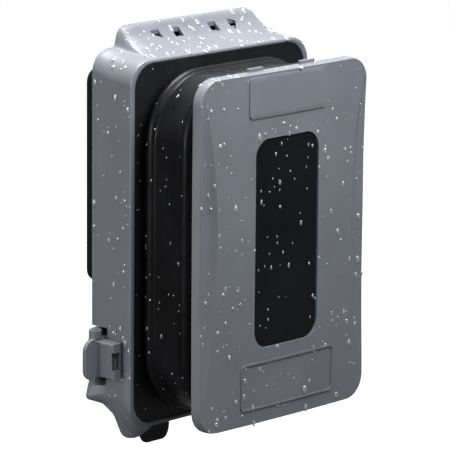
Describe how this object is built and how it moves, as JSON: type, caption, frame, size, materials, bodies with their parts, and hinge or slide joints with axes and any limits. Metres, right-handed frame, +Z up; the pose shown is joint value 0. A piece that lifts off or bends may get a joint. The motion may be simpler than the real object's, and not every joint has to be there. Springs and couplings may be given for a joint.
{
  "type": "weatherproof in-use outlet cover",
  "caption": "Wall cover for an outlet in use: hinged hood, black bellows and a front panel that slides out over plugs, with a window, a side latch and rubber cord flaps.",
  "frame": {"origin": "the centre of the device opening on the wall plane, where the gasket meets the outlet box", "axes": "+Y into the wall, +Z up, +X to the right of someone facing the cover"},
  "size_m": [0.1401, 0.0779, 0.2012],
  "materials": {
    "grey_moulding": "satin moulded",
    "black_rubber": "soft semi-matte",
    "black_plastic": "fine matte",
    "gasket_foam": "matte closed-cell foam",
    "smoked_window": "smoked clear, glossy",
    "bright_steel": "bright"
  },
  "bodies": {
    "base": {"box_gasket": "gasket_foam", "base_plate": "grey_moulding", "device_insert": "grey_moulding", "insert_seal": "black_rubber", "mounting_screw_upper": "bright_steel", "mounting_screw_lower": "bright_steel", "insert_screw_1": "bright_steel", "insert_screw_2": "bright_steel", "hinge_pin_upper": "bright_steel", "hinge_pin_lower": "bright_steel", "latch_pin": "bright_steel"},
    "hood": {"hood_shell": "grey_moulding", "bellows": "black_rubber", "bellows_retainer": "black_plastic", "retainer_screw_1": "bright_steel", "retainer_screw_2": "bright_steel", "retainer_screw_3": "bright_steel", "retainer_screw_4": "bright_steel"},
    "panel": {"front_panel": "grey_moulding", "window_lens": "smoked_window", "window_seal": "black_rubber", "panel_clamp_frame": "grey_moulding", "clamp_screw_1": "bright_steel", "clamp_screw_2": "bright_steel", "clamp_screw_3": "bright_steel", "clamp_screw_4": "bright_steel"},
    "latch": {"latch": "grey_moulding"},
    "cord_flap_left": {"cord_flap_left": "black_rubber"},
    "cord_flap_right": {"cord_flap_right": "black_rubber"}
  },
  "joints": [
    {"name": "hood_hinge", "type": "hinge", "parent": "base", "child": "hood", "pos_m": [0.063, -0.008, -0.0306], "axis": [0, 0, 1], "range_deg": [0, 115]},
    {"name": "panel_slide", "type": "slide", "parent": "hood", "child": "panel", "axis": [0, 1, 0], "range_m": [0, 0.036], "deforming": ["bellows"]},
    {"name": "latch_pivot", "type": "hinge", "parent": "base", "child": "latch", "pos_m": [-0.064, -0.0095, -0.0846], "axis": [0, 0, 1], "range_deg": [-15, 0], "stiffness_Nm_per_rad": 0.02, "springref_deg": 2.86},
    {"name": "cord_flap_left_hinge", "type": "hinge", "parent": "hood", "child": "cord_flap_left", "pos_m": [-0.02345, -0.0211, -0.1193], "axis": [-1, 0, 0], "range_deg": [0, 50], "stiffness_Nm_per_rad": 0.004, "springref_deg": -5.73},
    {"name": "cord_flap_right_hinge", "type": "hinge", "parent": "hood", "child": "cord_flap_right", "pos_m": [0.02345, -0.0211, -0.1193], "axis": [-1, 0, 0], "range_deg": [0, 50], "stiffness_Nm_per_rad": 0.004, "springref_deg": -5.73}
  ]
}
